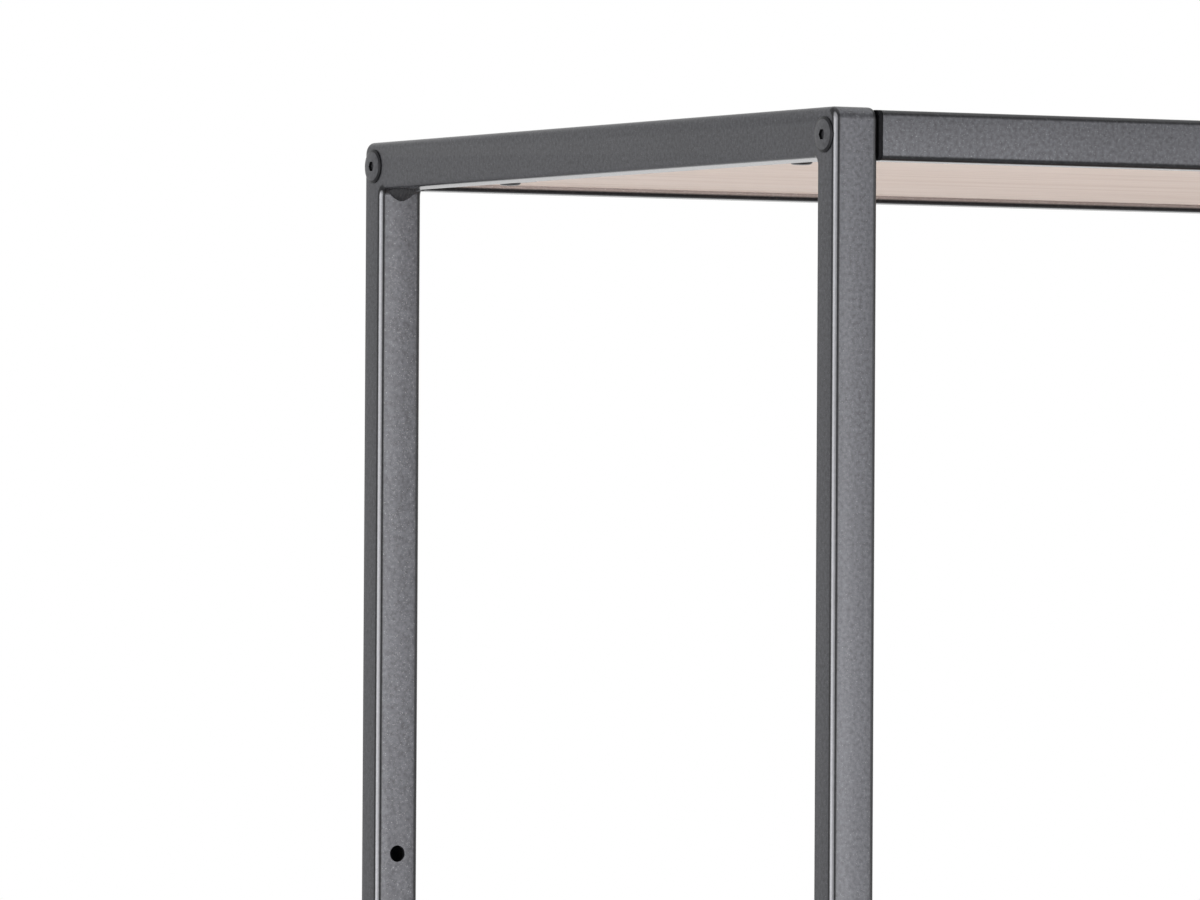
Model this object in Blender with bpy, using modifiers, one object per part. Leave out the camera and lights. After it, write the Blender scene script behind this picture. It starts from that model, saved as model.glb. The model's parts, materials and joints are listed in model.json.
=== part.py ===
"""Open steel bookcase.

Two welded side frames carry three pairs of bolted rails. Each pair holds a
wooden panel between the frames, and one more board lies on four pegs in the
posts, so that it can be moved to another row of holes.

Metres, +Z up. The origin is on the floor, under the middle of the bookcase.
The front is -Y, and the left side is -X.
"""

import math

import bmesh
import bpy
from mathutils import Matrix, Vector

# Overall size
WIDTH = 0.800
DEPTH = 0.400
HEIGHT = 1.380

# Steel tube of the posts and rails
TUBE_ACROSS = 0.020
POST_DEPTH = 0.015
RAIL_HEIGHT = 0.020
RAIL_DEPTH = 0.015
TUBE_WALL = 0.0015
TUBE_EDGE = 0.0025

# Corners of a side frame, seen from the side
FRAME_CORNER = 0.005
WINDOW_CORNER = 0.003

# Tops of the side frames' cross rails
MIDDLE_LEVEL = 0.550
BOTTOM_LEVEL = 0.120

# How far the long rails lie below the tops of the side frames
FRONT_RAIL_DROP = 0.0010
BACK_RAIL_DROP = 0.0002

# Clearances
GAP = 0.0002
PANEL_GAP = 0.0006
PLUG_CLEARANCE = 0.0003
BOLT_CLEARANCE = 0.0003
SCREW_CLEARANCE = 0.0002
SHELF_CLEARANCE = 0.0015

# Plastic plugs in the rail ends
PLUG_FLANGE = 0.0016
PLUG_LENGTH = 0.018

# Bolts through the posts into the plugs, a little inward of the rails' middle
BOLT_INSET = 0.0085
BOLT_RADIUS = 0.003
BOLT_LENGTH = 0.036
BOLT_HEAD_RADIUS = 0.0072
BOLT_HEAD_HEIGHT = 0.0010
BOLT_FACE_RADIUS = 0.0060
BOLT_FACE_DROP = 0.0003
BOLT_RIM_HEIGHT = 0.0002
BOLT_SOCKET = 0.004
BOLT_SOCKET_DEPTH = 0.0012
POST_HOLE_RADIUS = 0.0035

# Wooden panels and shelf. A panel's underside is lifted above that of the side frame's rail
BOARD_THICKNESS = 0.016
BOARD_EDGE = 0.0006
PANEL_LIFT = 0.0030

# Lugs welded inside the side frames, and their screws
LUG_LENGTH = 0.018
LUG_WIDTH = 0.020
LUG_THICKNESS = 0.0012
LUG_FROM_FRONT = 0.077
LUG_SEAT = 0.0008
SCREW_FROM_FRAME = 0.009
SCREW_RADIUS = 0.0018
SCREW_LENGTH = 0.012
SCREW_POINT = 0.003
SCREW_HEAD_RADIUS = 0.0045
SCREW_HEAD_HEIGHT = 0.0014
SCREW_SOCKET_RADIUS = 0.0012
SCREW_SOCKET_DEPTH = 0.0006

# Peg holes down the posts, counted from the top, and the pegs
HOLE_RADIUS = 0.0035
FIRST_HOLE = 0.302
HOLE_PITCH = 0.060
HOLE_COUNT = 5
PEG_SHANK_LENGTH = 0.010
PEG_SHANK_CLEARANCE = 0.0002
PEG_RADIUS = 0.0045
PEG_REACH = 0.012
PEG_CHAMFER = 0.0008

# Adjustable shelf
SHELF_INSET = 0.003
GROOVE_DEPTH = 0.005
GROOVE_CLEARANCE = 0.0005

# Plastic feet in the open ends of the posts
FOOT_HEIGHT = 0.006
FOOT_PLUG_LENGTH = 0.022
FOOT_EDGE = 0.0010

# Smoothness of round shapes
CORNER_STEPS = 3
ROUND_SIDES = 12
HEAD_SIDES = 16
OVERCUT = 0.002

INSIDE_X = WIDTH / 2 - TUBE_ACROSS
INSIDE_Y = DEPTH / 2 - POST_DEPTH
FRAME_X = WIDTH / 2 - TUBE_ACROSS / 2
POST_Y = DEPTH / 2 - POST_DEPTH / 2
RAIL_Y = DEPTH / 2 - RAIL_DEPTH / 2
BOLT_Y = DEPTH / 2 - BOLT_INSET
LEVELS = {"top": HEIGHT, "middle": MIDDLE_LEVEL, "bottom": BOTTOM_LEVEL}
SIDES = {"left": -1, "right": 1}
ENDS = {"front": -1, "back": 1}

# A drawing's x and y become world Y and Z, and its thickness runs along X
SIDE_VIEW = Matrix(((0, 0, 1, 0), (1, 0, 0, 0), (0, 1, 0, 0), (0, 0, 0, 1)))

STEEL_GREY = (0.105, 0.106, 0.115, 1)
BLACK_PLASTIC = (0.012, 0.012, 0.013, 1)
BOLT_GREY = (0.085, 0.086, 0.092, 1)
DARK_STEEL = (0.10, 0.10, 0.105, 1)
PALE_WOOD = (0.66, 0.56, 0.50, 1)


def clear_scene():
    for obj in list(bpy.data.objects):
        bpy.data.objects.remove(obj, do_unlink=True)


def new_collection(name):
    collection = bpy.data.collections.new(name)
    bpy.context.scene.collection.children.link(collection)
    return collection


def new_material(name, colour, roughness, metallic):
    material = bpy.data.materials.new(name)
    material.use_nodes = True
    shader = material.node_tree.nodes["Principled BSDF"]
    shader.inputs["Base Color"].default_value = colour
    shader.inputs["Roughness"].default_value = roughness
    shader.inputs["Metallic"].default_value = metallic
    return material


def add_object(name, mesh, collection, place=None):
    obj = bpy.data.objects.new(name, mesh)
    collection.objects.link(obj)
    if place is not None:
        obj.matrix_world = place
    return obj


def make_cutter(obj):
    obj.hide_render = True
    obj.display_type = "WIRE"
    return obj


def box_mesh(name, low, high):
    low, high = Vector(low), Vector(high)
    shape = bmesh.new()
    place = Matrix.Translation((low + high) / 2) @ Matrix.Diagonal((high - low).to_4d())
    bmesh.ops.create_cube(shape, size=1, matrix=place)
    mesh = bpy.data.meshes.new(name)
    shape.to_mesh(mesh)
    shape.free()
    return mesh


def rod_mesh(name, radius, start, end, sides=ROUND_SIDES):
    """A straight round rod from start to end."""
    start, end = Vector(start), Vector(end)
    along = end - start
    turn = Vector((0, 0, 1)).rotation_difference(along).to_matrix().to_4x4()
    shape = bmesh.new()
    bmesh.ops.create_cone(
        shape,
        cap_ends=True,
        segments=sides,
        radius1=radius,
        radius2=radius,
        depth=along.length,
        matrix=Matrix.Translation((start + end) / 2) @ turn,
    )
    mesh = bpy.data.meshes.new(name)
    shape.to_mesh(mesh)
    shape.free()
    return mesh


def rounded_outline(low, high, radius, steps=CORNER_STEPS):
    """Corners of an upright rectangle, each turned as an arc, anticlockwise."""
    centres = (
        (high[0] - radius, high[1] - radius),
        (low[0] + radius, high[1] - radius),
        (low[0] + radius, low[1] + radius),
        (high[0] - radius, low[1] + radius),
    )
    points = []
    for quarter, centre in enumerate(centres):
        points += arc(centre, radius, quarter * 90, quarter * 90 + 90, steps)
    return points


def arc(centre, radius, first, last, steps=CORNER_STEPS):
    points = []
    for step in range(steps + 1):
        angle = math.radians(first + (last - first) * step / steps)
        points.append(
            (centre[0] + radius * math.cos(angle), centre[1] + radius * math.sin(angle))
        )
    return points


def drawn_mesh(name, outlines, thickness, edge=0.0):
    """A flat drawing made thick, with its rims rounded by edge, as a closed mesh."""
    curve = bpy.data.curves.new(name, "CURVE")
    curve.dimensions = "2D"
    curve.fill_mode = "BOTH"
    curve.extrude = thickness / 2 - edge
    curve.bevel_depth = edge
    curve.bevel_resolution = 1
    curve.offset = -edge
    for outline in outlines:
        spline = curve.splines.new("POLY")
        spline.points.add(len(outline) - 1)
        for point, (across, up) in zip(spline.points, outline):
            point.co = (across, up, 0, 1)
        spline.use_cyclic_u = True
    drawing = add_object(name, curve, bpy.context.scene.collection)
    bpy.context.view_layer.update()
    mesh = baked_mesh(drawing, name)
    bpy.data.objects.remove(drawing)
    bpy.data.curves.remove(curve)
    return mesh


def baked_mesh(obj, name):
    """The object's evaluated shape with its loose seams closed."""
    graph = bpy.context.evaluated_depsgraph_get()
    mesh = bpy.data.meshes.new_from_object(obj.evaluated_get(graph))
    mesh.name = name
    shape = bmesh.new()
    shape.from_mesh(mesh)
    bmesh.ops.remove_doubles(shape, verts=shape.verts, dist=1e-6)
    bmesh.ops.recalc_face_normals(shape, faces=shape.faces)
    shape.to_mesh(mesh)
    shape.free()
    mesh.materials.clear()
    return mesh


def turned_mesh(name, profile, sides=ROUND_SIDES):
    """A profile of radius and height, from the upper pole down, turned about Z."""
    mesh = bpy.data.meshes.new(name)
    edges = [(i, i + 1) for i in range(len(profile) - 1)]
    mesh.from_pydata([(radius, 0, height) for radius, height in profile], edges, [])
    obj = add_object(name, mesh, bpy.context.scene.collection)
    screw = obj.modifiers.new("turn", "SCREW")
    screw.steps = sides
    screw.render_steps = sides
    screw.use_merge_vertices = True
    screw.merge_threshold = 1e-5
    bpy.context.view_layer.update()
    turned = baked_mesh(obj, name)
    bpy.data.objects.remove(obj)
    return turned


def bevel(obj, width, segments=1):
    modifier = obj.modifiers.new("rounded edges", "BEVEL")
    modifier.width = width
    modifier.segments = segments
    modifier.limit_method = "ANGLE"
    return modifier


def boolean(obj, other, operation):
    modifier = obj.modifiers.new(operation.lower() + " " + other.name, "BOOLEAN")
    modifier.operation = operation
    modifier.solver = "EXACT"
    if isinstance(other, bpy.types.Collection):
        modifier.operand_type = "COLLECTION"
        modifier.collection = other
    else:
        modifier.object = other
    return modifier


def shade(obj):
    obj.data.shade_smooth()
    obj.data.set_sharp_from_angle(angle=math.radians(35))


def finish(obj, material):
    obj.data.materials.clear()
    obj.data.materials.append(material)
    shade(obj)
    return obj


def frame_outlines():
    """Side view of one side frame: its outer line, and one window between each two cross rails."""
    half = DEPTH / 2
    leg = POST_DEPTH
    under = BOTTOM_LEVEL - RAIL_HEIGHT
    foot = FOOT_HEIGHT - 2 * TUBE_EDGE
    outer = [(-half, foot), (-half + leg, foot)]
    outer += arc((-half + leg + WINDOW_CORNER, under - WINDOW_CORNER), WINDOW_CORNER, 180, 90)
    outer += arc((half - leg - WINDOW_CORNER, under - WINDOW_CORNER), WINDOW_CORNER, 90, 0)
    outer += [(half - leg, foot), (half, foot)]
    outer += arc((half - FRAME_CORNER, HEIGHT - FRAME_CORNER), FRAME_CORNER, 0, 90)
    outer += arc((-half + FRAME_CORNER, HEIGHT - FRAME_CORNER), FRAME_CORNER, 90, 180)
    outlines = [outer]
    tops = sorted(LEVELS.values())
    for below, above in zip(tops, tops[1:]):
        low = (-half + leg, below)
        high = (half - leg, above - RAIL_HEIGHT)
        outlines.append(rounded_outline(low, high, WINDOW_CORNER))
    return outlines


def hole_heights():
    return [HEIGHT - FIRST_HOLE - HOLE_PITCH * row for row in range(HOLE_COUNT)]


def rail_centre(level, end):
    drop = FRONT_RAIL_DROP if end < 0 else BACK_RAIL_DROP
    return LEVELS[level] - drop - RAIL_HEIGHT / 2


def panel_underside(level):
    return LEVELS[level] - RAIL_HEIGHT + PANEL_LIFT


def lug_top(level):
    return panel_underside(level) - GAP


def lug_y(end):
    return end * (DEPTH / 2 - LUG_FROM_FRONT)


def screw_x(side):
    return side * (INSIDE_X - SCREW_FROM_FRAME)


def frame_hollows(side):
    """Boxes inside the posts and cross rails, and one that cuts the posts' feet square."""
    inner_x = (FRAME_X - TUBE_ACROSS / 2 + TUBE_WALL, FRAME_X + TUBE_ACROSS / 2 - TUBE_WALL)
    low_x, high_x = sorted(side * x for x in inner_x)
    boxes = []
    for end in ENDS.values():
        low_y, high_y = sorted(
            end * y for y in (INSIDE_Y + TUBE_WALL, DEPTH / 2 - TUBE_WALL)
        )
        boxes.append(((low_x, low_y, -OVERCUT), (high_x, high_y, HEIGHT - TUBE_WALL)))
    for top in LEVELS.values():
        low = (low_x, -INSIDE_Y - 2 * TUBE_WALL, top - RAIL_HEIGHT + TUBE_WALL)
        high = (high_x, INSIDE_Y + 2 * TUBE_WALL, top - TUBE_WALL)
        boxes.append((low, high))
    wide_x = sorted(side * (FRAME_X + half * TUBE_ACROSS) for half in (-1, 1))
    boxes.append(((wide_x[0], -DEPTH, -OVERCUT * 5), (wide_x[1], DEPTH, FOOT_HEIGHT)))
    return boxes


def frame_holes(side):
    """Rods that cut the bolt holes, the peg holes and the screw holes of the lugs."""
    rods = []
    for end in ENDS.values():
        for level in LEVELS:
            height = rail_centre(level, end)
            start = (side * (INSIDE_X - OVERCUT), end * BOLT_Y, height)
            stop = (side * (WIDTH / 2 + OVERCUT), end * BOLT_Y, height)
            rods.append((POST_HOLE_RADIUS, start, stop, ROUND_SIDES))
            screw_top = lug_top(level) + OVERCUT
            screw_low = lug_top(level) - LUG_THICKNESS - OVERCUT
            x, y = screw_x(side), lug_y(end)
            rods.append(
                (SCREW_RADIUS + SCREW_CLEARANCE, (x, y, screw_low), (x, y, screw_top), 8)
            )
        for height in hole_heights():
            start = (side * FRAME_X, end * (INSIDE_Y - OVERCUT), height)
            stop = (side * FRAME_X, end * POST_Y, height)
            rods.append((HOLE_RADIUS, start, stop, ROUND_SIDES))
    return rods


def side_frame(name, side, material):
    mesh = drawn_mesh(name, frame_outlines(), TUBE_ACROSS, TUBE_EDGE)
    place = Matrix.Translation((side * FRAME_X, 0, 0)) @ SIDE_VIEW
    frame = add_object(name, mesh, PARTS, place)
    lugs = new_collection(name + "_lugs")
    cutters = new_collection(name + "_cutters")
    for group in (lugs, cutters):
        group.hide_render = True
    for level in LEVELS:
        for end_name, end in ENDS.items():
            low_x, high_x = sorted(
                side * x for x in (INSIDE_X - LUG_LENGTH, INSIDE_X + LUG_SEAT)
            )
            low = (low_x, lug_y(end) - LUG_WIDTH / 2, lug_top(level) - LUG_THICKNESS)
            high = (high_x, lug_y(end) + LUG_WIDTH / 2, lug_top(level))
            lug_name = f"{name}_{level}_{end_name}_lug"
            make_cutter(add_object(lug_name, box_mesh(lug_name, low, high), lugs))
    for number, (low, high) in enumerate(frame_hollows(side)):
        hollow_name = f"{name}_hollow_{number}"
        make_cutter(add_object(hollow_name, box_mesh(hollow_name, low, high), cutters))
    for number, (radius, start, stop, sides) in enumerate(frame_holes(side)):
        hole_name = f"{name}_hole_{number}"
        hole = rod_mesh(hole_name, radius, start, stop, sides)
        make_cutter(add_object(hole_name, hole, cutters))
    boolean(frame, lugs, "UNION")
    boolean(frame, cutters, "DIFFERENCE")
    return finish(frame, material)


def rail_mesh():
    length = 2 * (INSIDE_X - 2 * GAP - PLUG_FLANGE)
    half_y, half_z = RAIL_DEPTH / 2, RAIL_HEIGHT / 2
    outer = rounded_outline((-half_y, -half_z), (half_y, half_z), TUBE_EDGE)
    inner_y, inner_z = half_y - TUBE_WALL, half_z - TUBE_WALL
    inner = rounded_outline(
        (-inner_y, -inner_z), (inner_y, inner_z), TUBE_EDGE - TUBE_WALL, 1
    )
    return drawn_mesh("rail", [outer, inner], length)


def plug_mesh():
    """A plug as for a front rail's right end: its flange at x = 0, and its body along -X."""
    half_y, half_z = RAIL_DEPTH / 2, RAIL_HEIGHT / 2
    outline = rounded_outline((-half_y, -half_z), (half_y, half_z), TUBE_EDGE)
    flange = add_object("flange", drawn_mesh("flange", [outline], PLUG_FLANGE), HELPERS)
    flange.matrix_world = Matrix.Translation((-PLUG_FLANGE / 2, 0, 0)) @ SIDE_VIEW
    body_y = half_y - TUBE_WALL - PLUG_CLEARANCE
    body_z = half_z - TUBE_WALL - PLUG_CLEARANCE
    low = (-PLUG_FLANGE - PLUG_LENGTH, -body_y, -body_z)
    high = (-PLUG_FLANGE / 2, body_y, body_z)
    body = make_cutter(add_object("plug_body", box_mesh("plug_body", low, high), HELPERS))
    bevel(body, TUBE_EDGE - TUBE_WALL)
    inward = BOLT_INSET - RAIL_DEPTH / 2
    start = (OVERCUT, inward, 0)
    stop = (low[0] - OVERCUT, inward, 0)
    bore_shape = rod_mesh("plug_bore", BOLT_RADIUS + BOLT_CLEARANCE, start, stop)
    bore = make_cutter(add_object("plug_bore", bore_shape, HELPERS))
    boolean(flange, body, "UNION")
    boolean(flange, bore, "DIFFERENCE")
    bpy.context.view_layer.update()
    mesh = baked_mesh(flange, "rail_plug")
    mesh.transform(flange.matrix_world)
    return mesh


def bolt_mesh():
    """A bolt with a low domed face, a bevelled rim and a six-sided socket: its shank runs
    down from z = 0."""
    profile = [(0, BOLT_HEAD_HEIGHT)]
    for step in range(1, 4):
        share = step / 3
        height = BOLT_HEAD_HEIGHT - BOLT_FACE_DROP * share**3
        profile.append((BOLT_FACE_RADIUS * share, height))
    profile += [(BOLT_HEAD_RADIUS, BOLT_RIM_HEIGHT), (BOLT_HEAD_RADIUS, 0), (BOLT_RADIUS, 0)]
    profile += [(BOLT_RADIUS, -BOLT_LENGTH), (0, -BOLT_LENGTH)]
    head = add_object("bolt", turned_mesh("bolt", profile, HEAD_SIDES), HELPERS)
    floor = BOLT_HEAD_HEIGHT - BOLT_SOCKET_DEPTH
    corner = BOLT_SOCKET / math.sqrt(3)
    socket_shape = rod_mesh("socket", corner, (0, 0, floor), (0, 0, floor + OVERCUT * 2), 6)
    socket = make_cutter(add_object("bolt_socket", socket_shape, HELPERS))
    boolean(head, socket, "DIFFERENCE")
    bpy.context.view_layer.update()
    return baked_mesh(head, "bolt")


def screw_mesh():
    """A pan-head wood screw, point up: the underside of its head is at z = 0."""
    profile = [(0, SCREW_LENGTH), (SCREW_RADIUS, SCREW_LENGTH - SCREW_POINT)]
    profile += [(SCREW_RADIUS, 0), (SCREW_HEAD_RADIUS, 0)]
    profile += [(SCREW_HEAD_RADIUS * 0.7, -SCREW_HEAD_HEIGHT)]
    profile += [(SCREW_SOCKET_RADIUS, -SCREW_HEAD_HEIGHT)]
    profile += [(0, SCREW_SOCKET_DEPTH - SCREW_HEAD_HEIGHT)]
    return turned_mesh("panel_screw", profile)


def peg_mesh():
    """A shelf peg along +Z: its shank is below z = 0, and the board lies on the part above."""
    shank = HOLE_RADIUS - PEG_SHANK_CLEARANCE
    profile = [(0, PEG_REACH), (PEG_RADIUS - PEG_CHAMFER, PEG_REACH)]
    profile += [(PEG_RADIUS, PEG_REACH - PEG_CHAMFER), (PEG_RADIUS, 0), (shank, 0)]
    profile += [(shank, -PEG_SHANK_LENGTH + PEG_CHAMFER)]
    profile += [(shank - PEG_CHAMFER, -PEG_SHANK_LENGTH), (0, -PEG_SHANK_LENGTH)]
    return turned_mesh("shelf_peg", profile)


def foot_mesh():
    """A foot under a post: its pad is between z = 0 and the post's end, and its plug above."""
    half_x, half_y = TUBE_ACROSS / 2, POST_DEPTH / 2
    outline = rounded_outline((-half_x, -half_y), (half_x, half_y), TUBE_EDGE)
    height = FOOT_HEIGHT - GAP
    pad = add_object("pad", drawn_mesh("pad", [outline], height, FOOT_EDGE), HELPERS)
    pad.matrix_world = Matrix.Translation((0, 0, height / 2))
    plug_x = half_x - TUBE_WALL - PLUG_CLEARANCE
    plug_y = half_y - TUBE_WALL - PLUG_CLEARANCE
    low = (-plug_x, -plug_y, height / 2)
    high = (plug_x, plug_y, height + FOOT_PLUG_LENGTH)
    plug = make_cutter(add_object("foot_plug", box_mesh("foot_plug", low, high), HELPERS))
    bevel(plug, TUBE_EDGE - TUBE_WALL)
    boolean(pad, plug, "UNION")
    bpy.context.view_layer.update()
    mesh = baked_mesh(pad, "foot")
    mesh.transform(pad.matrix_world)
    return mesh


def rails(shapes):
    for level in LEVELS:
        for end_name, end in ENDS.items():
            middle = (0, end * RAIL_Y, rail_centre(level, end))
            place = Matrix.Translation(middle) @ SIDE_VIEW
            finish(
                add_object(f"{level}_{end_name}_rail", shapes["rail"], PARTS, place),
                shapes["steel"],
            )


def plugs_and_bolts(shapes):
    """One plug in each end of each rail, and one bolt through the post into it."""
    for level in LEVELS:
        for end_name, end in ENDS.items():
            for side_name, side in SIDES.items():
                name = f"{level}_{end_name}_{side_name}"
                height = rail_centre(level, end)
                sideways = Matrix.Rotation(0 if side > 0 else math.pi, 4, "Y")
                facing = sideways @ Matrix.Rotation(0 if end < 0 else math.pi, 4, "X")
                seat = Matrix.Translation((side * (INSIDE_X - GAP), end * RAIL_Y, height))
                plug = add_object(name + "_plug", shapes["plug"], PARTS, seat @ facing)
                finish(plug, shapes["plastic"])
                outwards = Matrix.Rotation(side * math.pi / 2, 4, "Y")
                seat = Matrix.Translation((side * (WIDTH / 2 + GAP), end * BOLT_Y, height))
                bolt = add_object(name + "_bolt", shapes["bolt"], PARTS, seat @ outwards)
                finish(bolt, shapes["bolt_steel"])


def panel(level, material):
    half_x, half_y = INSIDE_X - PANEL_GAP, DEPTH / 2 - RAIL_DEPTH - PANEL_GAP
    low_z = panel_underside(level)
    name = level + "_panel"
    board = box_mesh(name, (-half_x, -half_y, low_z), (half_x, half_y, low_z + BOARD_THICKNESS))
    obj = add_object(name, board, PARTS)
    bevel(obj, BOARD_EDGE)
    cutters = new_collection(name + "_cutters")
    cutters.hide_render = True
    for end_name, end in ENDS.items():
        for side_name, side in SIDES.items():
            x, y = screw_x(side), lug_y(end)
            top = low_z - GAP - LUG_THICKNESS - GAP + SCREW_LENGTH + SCREW_CLEARANCE
            hole_name = f"{name}_{end_name}_{side_name}_pilot"
            radius = SCREW_RADIUS + SCREW_CLEARANCE
            pilot = rod_mesh(hole_name, radius, (x, y, low_z - OVERCUT), (x, y, top), 8)
            make_cutter(add_object(hole_name, pilot, cutters))
    boolean(obj, cutters, "DIFFERENCE")
    return finish(obj, material)


def panel_screws(shapes):
    for level in LEVELS:
        for end_name, end in ENDS.items():
            for side_name, side in SIDES.items():
                seat = lug_top(level) - LUG_THICKNESS - GAP
                place = Matrix.Translation((screw_x(side), lug_y(end), seat))
                name = f"{level}_{end_name}_{side_name}_screw"
                finish(
                    add_object(name, shapes["screw"], PARTS, place), shapes["screw_steel"]
                )


def adjustable_shelf(shapes):
    """A board on four pegs in the middle row of holes, which lie in grooves under its ends."""
    peg_height = hole_heights()[HOLE_COUNT // 2]
    ceiling = peg_height + PEG_RADIUS + GAP
    low_z = ceiling - GROOVE_DEPTH
    half_x = WIDTH / 2 - SHELF_INSET
    half_y = INSIDE_Y - SHELF_CLEARANCE
    low = (-half_x, -half_y, low_z)
    high = (half_x, half_y, low_z + BOARD_THICKNESS)
    shelf = add_object("adjustable_shelf", box_mesh("adjustable_shelf", low, high), PARTS)
    bevel(shelf, BOARD_EDGE)
    grooves = new_collection("shelf_grooves")
    grooves.hide_render = True
    half_width = PEG_RADIUS + GROOVE_CLEARANCE
    for end_name, end in ENDS.items():
        for side_name, side in SIDES.items():
            reach = (half_y + OVERCUT, INSIDE_Y - PEG_REACH - GROOVE_CLEARANCE - GAP)
            low_y, high_y = sorted(end * y for y in reach)
            low = (side * FRAME_X - half_width, low_y, low_z - OVERCUT)
            high = (side * FRAME_X + half_width, high_y, ceiling)
            name = f"shelf_groove_{end_name}_{side_name}"
            make_cutter(add_object(name, box_mesh(name, low, high), grooves))
            inwards = Matrix.Rotation(end * math.pi / 2, 4, "X")
            seat = Matrix.Translation((side * FRAME_X, end * (INSIDE_Y - GAP), peg_height))
            peg_name = f"shelf_peg_{end_name}_{side_name}"
            peg = add_object(peg_name, shapes["peg"], PARTS, seat @ inwards)
            finish(peg, shapes["peg_steel"])
    boolean(shelf, grooves, "DIFFERENCE")
    return finish(shelf, shapes["wood"])


def feet(shapes):
    for end_name, end in ENDS.items():
        for side_name, side in SIDES.items():
            place = Matrix.Translation((side * FRAME_X, end * POST_Y, 0))
            name = f"foot_{end_name}_{side_name}"
            finish(add_object(name, shapes["foot"], PARTS, place), shapes["plastic"])


clear_scene()
PARTS = new_collection("bookcase")
HELPERS = new_collection("helpers")
HELPERS.hide_render = True

SHAPES = {
    "steel": new_material("grey_coated_steel", STEEL_GREY, 0.45, 0.3),
    "plastic": new_material("black_plastic", BLACK_PLASTIC, 0.5, 0.0),
    "bolt_steel": new_material("grey_bolt_steel", BOLT_GREY, 0.4, 0.3),
    "screw_steel": new_material("dark_screw_steel", DARK_STEEL, 0.35, 0.8),
    "peg_steel": new_material("peg_steel", DARK_STEEL, 0.3, 0.9),
    "wood": new_material("pale_wood", PALE_WOOD, 0.55, 0.0),
    "rail": rail_mesh(),
    "plug": plug_mesh(),
    "bolt": bolt_mesh(),
    "screw": screw_mesh(),
    "peg": peg_mesh(),
    "foot": foot_mesh(),
}

for frame_side, frame_sign in SIDES.items():
    side_frame(f"side_frame_{frame_side}", frame_sign, SHAPES["steel"])
rails(SHAPES)
plugs_and_bolts(SHAPES)
for panel_level in LEVELS:
    panel(panel_level, SHAPES["wood"])
panel_screws(SHAPES)
adjustable_shelf(SHAPES)
feet(SHAPES)
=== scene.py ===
import json
import math

import bmesh
import bpy
from mathutils import Matrix, Vector

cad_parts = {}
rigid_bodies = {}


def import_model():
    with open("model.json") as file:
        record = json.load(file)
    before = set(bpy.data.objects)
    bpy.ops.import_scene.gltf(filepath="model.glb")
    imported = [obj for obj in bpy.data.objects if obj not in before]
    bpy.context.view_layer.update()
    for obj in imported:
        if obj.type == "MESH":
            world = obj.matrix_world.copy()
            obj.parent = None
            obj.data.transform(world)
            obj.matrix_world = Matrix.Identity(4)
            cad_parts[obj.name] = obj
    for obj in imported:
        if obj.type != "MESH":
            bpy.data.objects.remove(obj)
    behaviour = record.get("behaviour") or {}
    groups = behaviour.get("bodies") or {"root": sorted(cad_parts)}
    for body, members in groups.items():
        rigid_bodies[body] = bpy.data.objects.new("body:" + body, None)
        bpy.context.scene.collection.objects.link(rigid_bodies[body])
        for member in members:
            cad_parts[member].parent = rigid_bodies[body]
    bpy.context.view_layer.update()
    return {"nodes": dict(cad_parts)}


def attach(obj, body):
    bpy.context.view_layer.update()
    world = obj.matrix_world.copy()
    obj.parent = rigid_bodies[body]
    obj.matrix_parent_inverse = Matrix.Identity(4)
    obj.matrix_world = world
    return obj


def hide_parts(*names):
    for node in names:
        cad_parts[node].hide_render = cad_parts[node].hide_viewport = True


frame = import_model()

# The bookcase, in metres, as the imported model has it
WIDTH = 0.800
DEPTH = 0.400
HEIGHT = 1.380
LEVELS = {"top": HEIGHT, "middle": 0.550, "bottom": 0.120}
SIDES = {"left": -1, "right": 1}
ENDS = {"front": -1, "back": 1}
TUBE_ACROSS = 0.020
POST_DEPTH = 0.015
RAIL_HEIGHT = 0.020
RAIL_DEPTH = 0.015
RAIL_DROPS = {-1: 0.0010, 1: 0.0002}
TUBE_WALL = 0.0015
TUBE_EDGE = 0.0025
FRAME_CORNER = 0.005
WINDOW_CORNER = 0.003
PLUG_FLANGE = 0.0016
PANEL_LIFT = 0.003

# The free space between two pieces, and how far a cutter reaches past what it cuts
GAP = 0.0002
OVERSHOOT = 0.002

# The peg holes in each post, counted from the top, and the pegs in one of the rows
FIRST_HOLE_DOWN = 0.302
HOLE_PITCH = 0.060
HOLE_ROWS = 5
HOLE_RADIUS = 0.0035
PEG_ROW = 2
HOLES = [HEIGHT - FIRST_HOLE_DOWN - HOLE_PITCH * row for row in range(HOLE_ROWS)]

# The lugs inside the cross rails, and the screws that go up through them
LUG_THICKNESS = 0.0012
LUG_ACROSS = 0.0188
LUG_LENGTH = 0.020
LUG_CORNER = 0.0035
LUG_EDGE = 0.0003
LUG_REACH = 0.0086
LUG_INSET = 0.077
SCREW_INSET = 0.009
SCREW_HOLE_RADIUS = 0.002
RECESS_REACH = 0.0019
RECESS_HALF_WIDTH = 0.0004
RECESS_DEPTHS = (-0.002, -0.0005)

# The bolts through the posts
BOLT_INSET = 0.0085
BOLT_HOLE_RADIUS = 0.0035
BOLT_RADIUS = 0.003
BOLT_LENGTH = 0.036
BOLT_END_CHAMFER = 0.0005
BOLT_HEAD_RADIUS = 0.0072
BOLT_HEAD_HEIGHT = 0.0010
BOLT_FACE_RADIUS = 0.0060
BOLT_FACE_DROP = 0.0003
BOLT_FACE_STEPS = 12
BOLT_ROUNDING_ACROSS = 0.0002
BOLT_ROUNDING_DROP = 0.00007
BOLT_RIM_HEIGHT = 0.0002
BOLT_SOCKET = 0.004
BOLT_SOCKET_DEPTH = 0.0012

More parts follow.
